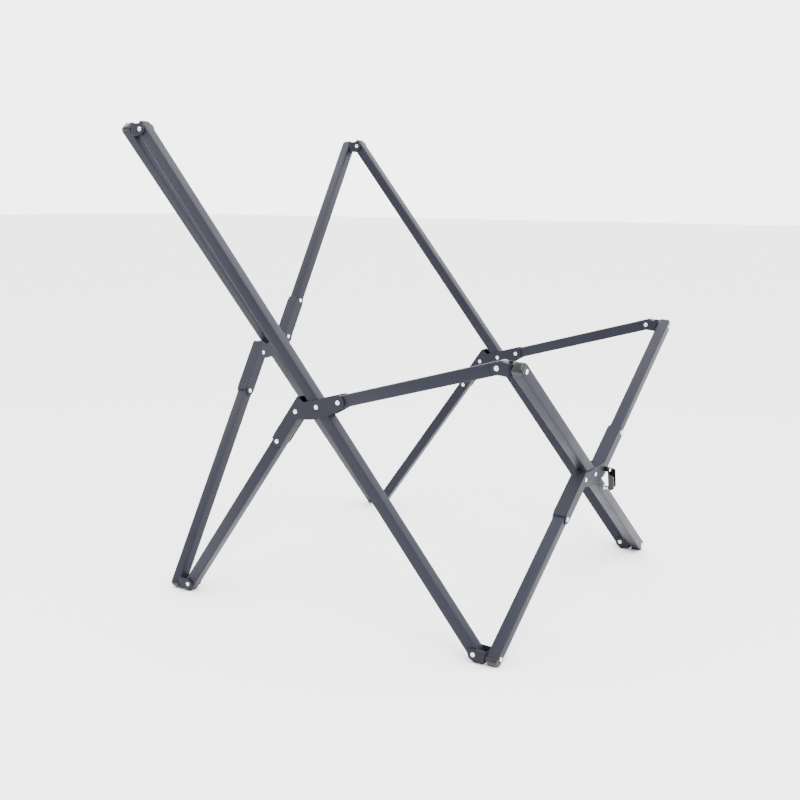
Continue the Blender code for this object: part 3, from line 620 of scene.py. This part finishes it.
def boat():
    e, r = E_PLATE, PLATE_TOP
    drop = PLATE_BELLY - r
    big = (e * e + drop * drop) / (2 * drop)
    half = math.asin(e / big)
    cy = -r - drop + big
    pts = arc(e, 0, r, math.pi / 2, -math.pi / 2, 24)
    pts += arc(0, cy, big, -math.pi / 2 + half, -math.pi / 2 - half, 28)[1:-1]
    pts += arc(-e, 0, r, 1.5 * math.pi, 0.5 * math.pi, 24)
    return pts


def tongue(x0, y0, angle, length, web_side, base):
    h = HALF + GAP
    hw, ho = (h + PLATE_T, h) if web_side > 0 else (h, h + PLATE_T)
    r = 9.0 * MM
    c, s = math.cos(angle), math.sin(angle)
    if web_side < 0:
        hw, ho = h, h + PLATE_T
    pts = [(-base, -ho), (length - 4 * MM, -ho)]
    pts += arc(length, 0, r, -math.pi / 2 + 0.25, math.pi / 2 - 0.25, 18)
    pts += [(length - 4 * MM, hw), (-base, hw)]
    return [(x0 + c * x - s * y, y0 + s * x + c * y) for x, y in pts]


def soft_rim(bm):
    """Round the rim of a flat plate before it is joined to anything."""
    caps = {f for f in bm.faces if len(f.verts) > 4}
    rim = [e for e in bm.edges if sum(f in caps for f in e.link_faces) == 1]
    bmesh.ops.bevel(bm, geom=rim, offset=0.25 * MM, segments=2, affect="EDGES", clamp_overlap=True)
    bmesh.ops.triangulate(bm, faces=[f for f in bm.faces if len(f.verts) > 4])


def pressing(node, pivot, line_dir, top_dir, arms, body, sleeve):
    line_dir = Vector(line_dir).normalized()
    top_dir = Vector(top_dir).normalized()
    m = frame_at(pivot, line_dir.cross(top_dir), line_dir)
    lo = HALF + GAP
    o = None
    for side in (-1, 1):
        z = side * (lo + PLATE_T / 2)
        bm = outline_mesh(boat(), PLATE_T)
        soft_rim(bm)
        bm.transform(Matrix.Translation((0, 0, z)))
        plate = mesh_object("look_" + node, bm)
        for sign, angle, second, web in arms:
            bm = outline_mesh(tongue(sign * E_PLATE, 0.0, angle, second, web, sleeve), PLATE_T)
            soft_rim(bm)
            bm.transform(Matrix.Translation((0, 0, z)))
            boolean(plate, mesh_object("tongue", bm), "UNION")
        if o is None:
            o = plate
        else:
            bm = bmesh.new()
            bm.from_mesh(o.data)
            bm.from_mesh(plate.data)
            bm.to_mesh(o.data)
            bm.free()
            bpy.data.objects.remove(plate, do_unlink=True)
    for sign, angle, second, web in arms:
        bm = bmesh.new()
        h = lo
        y0, y1 = (h, h + PLATE_T) if web > 0 else (-h - PLATE_T, -h)
        add_box(bm, (-sleeve, y0, -lo - PLATE_T), (second + 3 * MM, y1, lo + PLATE_T))
        outer = [e for e in bm.edges if all(abs(abs(v.co.y) - h - PLATE_T) < 1e-7 for v in e.verts) and abs(e.verts[0].co.x - e.verts[1].co.x) > 0.01]
        bmesh.ops.bevel(bm, geom=outer, offset=1.5 * MM, segments=5, affect="EDGES")
        bm.transform(Matrix.Translation((sign * E_PLATE, 0, 0)) @ Matrix.Rotation(angle, 4, "Z"))
        boolean(o, mesh_object("web", bm), "UNION")
    o.name = "look_" + node
    tidy = bmesh.new()
    tidy.from_mesh(o.data)
    bmesh.ops.remove_doubles(tidy, verts=tidy.verts, dist=0.002 * MM)
    bmesh.ops.dissolve_degenerate(tidy, edges=tidy.edges, dist=0.002 * MM)
    bmesh.ops.triangulate(tidy, faces=[f for f in tidy.faces if len(f.verts) > 4])
    tidy.to_mesh(o.data)
    tidy.free()
    done = finish_piece(o, m, body, SHEET_PAINT, node, angle=32)
    for p in o.data.polygons:
        if len(p.vertices) == 3 or p.area > 2e-5:
            p.use_smooth = False
    return done


# ================================================================ build: side frames
def side_frame(tag, s):
    long_foot, long_top = at("F", s), at("T", s)
    u = (long_top - long_foot).normalized()
    low, foot_b = at("L", s), at("D", s)
    d = (foot_b - low).normalized()
    arm_a, arm_b = at("A", s), at("S", s)
    v = (arm_b - arm_a).normalized()
    tube(tag + "_long_tube", long_foot, long_top, X, FOOT_EXT_SIDE - CAP, TOP_EXT - CAP, tag + "_long")
    tube(tag + "_lower_tube", low, foot_b, X, INNER_EXT, FOOT_EXT_SIDE - CAP, tag + "_lower")
    tube(tag + "_arm_tube", arm_a, arm_b, X, ARM_INNER_EXT, TOP_EXT - CAP, tag + "_arm")
    plug(tag + "_long_foot_plug", long_foot - u * (FOOT_EXT_SIDE - CAP), -u, X, True, tag + "_long")
    plug(tag + "_long_top_plug", long_top + u * (TOP_EXT - CAP), u, X, False, tag + "_long")
    plug(tag + "_lower_plug", foot_b + d * (FOOT_EXT_SIDE - CAP), d, X, True, tag + "_lower")
    plug(tag + "_arm_plug", arm_b + v * (TOP_EXT - CAP), v, X, False, tag + "_arm")
    line = (arm_a - low).normalized()
    top = Vector((0, -line.z, line.y))
    if top.z < 0:
        top = -top
    pivot = at("P", s)
    angle = math.atan2(d.dot(top), d.dot(line))
    side_normal = top * math.cos(angle) - line * math.sin(angle)
    web = -1 if side_normal.z < 0 else 1
    pressing(tag + "_side_plates", pivot, line, top, [(-1, angle, SLEEVE_SIDE, web)], tag + "_lower", SLEEVE_LONG)
    reach = HALF + GAP + PLATE_T
    rivet(tag + "_side_rivet", pivot, X, -reach - 0.1 * MM, reach + 0.1 * MM, tag + "_lower", tag + "_side_rivet")
    rivet(tag + "_plate_end_rivet", low, X, -reach, reach, tag + "_lower")
    rivet(tag + "_sleeve_rivet", low + d * SLEEVE_SIDE, X, -reach, reach, tag + "_lower")
    for k, sx in (("in", -s), ("out", s)):
        head_only(tag + "_arm_rivet_" + k, arm_a, X * sx, reach, tag + "_lower")


side_frame("near", -1)
side_frame("far", 1)


# ================================================================ build: back and front X
def cross_frame(tag, straight_top, straight_foot, z_top, z_foot, pivot, normal, up, z_line, foot_ext, loose, latch):
    w = (straight_foot - straight_top).normalized()
    tube(tag + "_straight_tube", straight_top, straight_foot, normal, TOP_EXT - CAP, foot_ext - CAP, tag + "_straight")
    plug(tag + "_straight_top_plug", straight_top - w * (TOP_EXT - CAP), -w, normal, False, tag + "_straight")
    plug(tag + "_straight_foot_plug", straight_foot + w * (foot_ext - CAP), w, normal, True, tag + "_straight")
    hi = pivot + z_line * E_PLATE
    lo = pivot - z_line * E_PLATE
    tube(tag + "_z_upper_tube", hi, z_top, normal, INNER_EXT, TOP_EXT - CAP, tag + "_z")
    tube(tag + "_z_lower_tube", lo, z_foot, normal, INNER_EXT, foot_ext - CAP, tag + "_z")
    du = (z_top - hi).normalized()
    dl = (z_foot - lo).normalized()
    plug(tag + "_z_top_plug", z_top + du * (TOP_EXT - CAP), du, normal, False, tag + "_z")
    plug(tag + "_z_foot_plug", z_foot + dl * (foot_ext - CAP), dl, normal, True, tag + "_z")
    top = normal.cross(z_line)
    if top.z < 0:
        top = -top
    arms = []
    for sign, d in ((1, du), (-1, dl)):
        angle = math.atan2(d.dot(top), d.dot(z_line))
        side_normal = top * math.cos(angle) - z_line * math.sin(angle)
        arms.append((sign, angle, SLEEVE_X, 1 if side_normal.dot(up - X) > 0 else -1))
    pressing(tag + "_z_plates", pivot, z_line, top, arms, tag + "_z", SLEEVE_BACK if tag == "back" else SLEEVE_SHORT)
    reach = HALF + GAP + PLATE_T
    rivet(tag + "_cross_rivet", pivot, normal, -reach - 0.1 * MM, reach + 0.1 * MM, tag + "_z", tag + "_cross_rivet")
    rivet(tag + "_plate_hi_rivet", hi, normal, -reach, reach + (LATCH_STAND - 0.1 * MM if latch else 0), tag + "_z")
    rivet(tag + "_plate_lo_rivet", lo, normal, -reach, reach, tag + "_z")
    rivet(tag + "_sleeve_hi_rivet", hi + du * SLEEVE_X, normal, -reach, reach, tag + "_z")
    rivet(tag + "_sleeve_lo_rivet", lo + dl * SLEEVE_X, normal, -reach, reach, tag + "_z")
    inner = HALF + GAP + SHEET
    outer = HALF
    rivet(tag + "_straight_top_rivet", straight_top, normal, -inner, outer, tag + "_straight", tag + "_straight_top_rivet")
    rivet(tag + "_z_foot_rivet", z_foot, normal, -inner, outer, tag + "_z", tag + "_z_foot_rivet")
    if loose:
        head_only(tag + "_straight_foot_head", straight_foot, normal, outer, tag + "_straight")
        head_only(tag + "_z_top_head", z_top, normal, outer, tag + "_z")
    else:
        rivet(tag + "_straight_foot_rivet", straight_foot, normal, -inner, outer, tag + "_straight", tag + "_straight_foot_rivet")
        rivet(tag + "_z_top_rivet", z_top, normal, -inner, outer, tag + "_z", tag + "_z_top_rivet")


cross_frame("back", back_at("T", -1), back_at("D", 1), back_at("T", 1), back_at("D", -1), PB, BACK_N, BACK_UP,
            BZ_LINE, FOOT_EXT_BACK, True, False)
cross_frame("front", front_at("S", -1), front_at("F", 1), front_at("S", 1), front_at("F", -1), PF, FRONT_N, FRONT_UP,
            FZ_LINE, FOOT_EXT_FRONT, False, True)


# ================================================================ build: corners
def corner(tag, key, side, back, loose_pin, loose_base):
    tube_point = back_at(key, side) if back else front_at(key, side)
    n = BACK_N if back else FRONT_N
    bracket(tag + "_bracket", tube_point, -n, tag)
    ear = HALF + GAP + SHEET
    if loose_pin:
        for k, sx in (("in", -side), ("out", side)):
            head_only(tag + "_ear_head_" + k, at(key, side), X * sx, ear, tag)
    else:
        rivet(tag + "_ear_rivet", at(key, side), X, -ear, ear, tag, tag + "_ear_rivet")
    if loose_base:
        head_only(tag + "_base_head", tube_point, -n, HALF + GAP + SHEET, tag)


corner("near_back_foot", "D", -1, True, False, False)
corner("near_back_top", "T", -1, True, True, False)
corner("far_back_foot", "D", 1, True, False, True)
corner("far_back_top", "T", 1, True, False, True)
corner("near_front_foot", "F", -1, False, False, False)
corner("near_front_top", "S", -1, False, False, False)
corner("far_front_foot", "F", 1, False, False, False)
corner("far_front_top", "S", 1, False, False, False)

# ================================================================ build: latch
STRAIGHT_DIR = (front_at("F", 1) - front_at("S", -1)).normalized()
STRAIGHT_N = FRONT_N.cross(STRAIGHT_DIR)
if STRAIGHT_N.z < 0:
    STRAIGHT_N = -STRAIGHT_N
CATCH = PF + STRAIGHT_DIR * LATCH_ALONG + STRAIGHT_N * LATCH_OFF
LATCH_PIN = PF + FZ_LINE * E_PLATE


def latch():
    """Black channel on a boss: web on the rivet, two flanges pointing out, rounded lips."""
    v = CATCH - LATCH_PIN
    length = v.length
    m = frame_at(LATCH_PIN, FRONT_N, v)
    base = HALF + GAP + PLATE_T + 0.4 * MM
    z0 = base + LATCH_BOSS
    z1 = z0 + LATCH_WEB
    r = LATCH_HALF
    pts = arc(length, 0, r, -math.pi / 2, math.pi / 2, 24) + arc(0, 0, r, math.pi / 2, 1.5 * math.pi, 24)
    bm = outline_mesh(pts, z1 - z0)
    bm.transform(Matrix.Translation((0, 0, (z0 + z1) / 2)))
    o = mesh_object("look_latch_bar", bm)
    for side, start in ((1, -1.0 * MM), (-1, 8.0 * MM)):
        # a flange with sloping shoulders at both ends
        pts = [(start, z0), (length + 1.0 * MM, z0), (length + 1.0 * MM, z0 + LATCH_FLANGE * 0.6),
               (length - 3.0 * MM, z0 + LATCH_FLANGE), (start + 2.0 * MM, z0 + LATCH_FLANGE), (start, z0 + LATCH_FLANGE * 0.75)]
        bm = outline_mesh(pts, LATCH_FLANGE_T)
        bm.transform(Matrix.Translation((0, side * (r - LATCH_FLANGE_T / 2), 0)) @ Matrix.Rotation(math.pi / 2, 4, "X"))
        boolean(o, mesh_object("flange", bm), "UNION")
    boss = turned_piece("boss", [(0.0, base), (4.0 * MM, base), (4.4 * MM, base + 0.4 * MM), (4.4 * MM, z0 + 0.5 * MM), (0.0, z0 + 0.5 * MM)], 32)
    boolean(o, boss, "UNION")
    soften(o, 0.35 * MM, 2, 50)
    finish_piece(o, m, "latch", BLACK, "latch_bar", angle=50)
    m = frame_at(CATCH, FRONT_N, STRAIGHT_DIR)
    b = HALF + 0.1 * MM
    profile = [(0.0, b), (5.2 * MM, b), (5.2 * MM, b + 0.9 * MM), (4.9 * MM, b + 1.3 * MM), (3.4 * MM, b + 1.5 * MM),
               (3.0 * MM, b + 1.9 * MM), (3.0 * MM, b + 5.6 * MM), (3.9 * MM, b + 6.2 * MM), (4.0 * MM, b + 6.5 * MM),
               (4.0 * MM, b + 7.4 * MM), (3.6 * MM, b + 8.0 * MM), (2.4 * MM, b + 8.5 * MM), (0.0, b + 8.7 * MM)]
    o = turned_piece("look_latch_catch", profile, 36)
    finish_piece(o, m, "front_straight", STEEL, "latch_catch")


latch()

# ================================================================ stage
def stage():
    bm = bmesh.new()
    size = 30.0
    bmesh.ops.create_grid(bm, x_segments=2, y_segments=2, size=size)
    o = mesh_object("floor", bm)
    o.location = (0, 0, 0)
    m = bpy.data.materials.new("floor_white")
    nt, n, l, b = nodes_of(m)
    b.inputs["Base Color"].default_value = (0.9, 0.9, 0.9, 1)
    b.inputs["Roughness"].default_value = 0.9
    b.inputs["Specular IOR Level"].default_value = 0.1
    o.data.materials.append(m)


stage()

world = bpy.data.worlds.new("studio")
bpy.context.scene.world = world
world.use_nodes = True
wn, wl = world.node_tree.nodes, world.node_tree.links
bg = wn["Background"]
bg.inputs["Color"].default_value = (1.0, 1.0, 1.0, 1)
tc = wn.new("ShaderNodeTexCoord")
sep = wn.new("ShaderNodeSeparateXYZ")
wl.new(tc.outputs["Generated"], sep.inputs["Vector"])
side = wn.new("ShaderNodeMapRange")
side.interpolation_type = "SMOOTHSTEP"
side.inputs["From Min"].default_value = -0.95
side.inputs["From Max"].default_value = 0.0
side.inputs["To Min"].default_value = 0.35
side.inputs["To Max"].default_value = 5.0
wl.new(sep.outputs["X"], side.inputs["Value"])
wl.new(side.outputs["Result"], bg.inputs["Strength"])


def area(name, loc, target, size, power):
    d = bpy.data.lights.new(name, "AREA")
    d.shape = "RECTANGLE"
    d.size, d.size_y = size
    d.energy = power
    o = bpy.data.objects.new(name, d)
    bpy.context.scene.collection.objects.link(o)
    o.matrix_world = Matrix.Translation(Vector(loc)) @ (Vector(loc) - Vector(target)).to_track_quat("Z", "Y").to_matrix().to_4x4()
    return o


area("key", (-1.6, -1.2, 3.0), (0, 0, 0.4), (1.8, 1.8), 130)
area("fill", (-3.0, 1.4, 2.2), (0, 0, 0.4), (2.0, 1.5), 40)

# ================================================================ camera
CAM = Vector((-1.670, -0.990 + Y_SHIFT, 0.697 + PIN_Z - 0.0122))
YAW, PITCH, ROLL = math.radians(30.04), math.radians(-13.28), math.radians(0.52)
FOCAL_PX, PX, PY = 1055.0, 432.6, 446.2
fwd = Vector((math.cos(PITCH) * math.cos(YAW), math.cos(PITCH) * math.sin(YAW), math.sin(PITCH)))
right = fwd.cross(Vector((0, 0, 1))).normalized()
up = right.cross(fwd)
r2 = right * math.cos(ROLL) + up * math.sin(ROLL)
u2 = -right * math.sin(ROLL) + up * math.cos(ROLL)
cam_data = bpy.data.cameras.new("camera")
cam_data.sensor_width = 36.0
cam_data.lens = FOCAL_PX / 800 * 36.0
cam_data.shift_x = (400 - PX) / 800
cam_data.shift_y = (PY - 400) / 800
cam_data.clip_end = 100
camera = bpy.data.objects.new("camera", cam_data)
bpy.context.scene.collection.objects.link(camera)
mat = Matrix.Identity(4)
for i, v in enumerate((r2, u2, -fwd)):
    for r in range(3):
        mat[r][i] = v[r]
mat.translation = CAM
camera.matrix_world = mat
bpy.context.scene.camera = camera
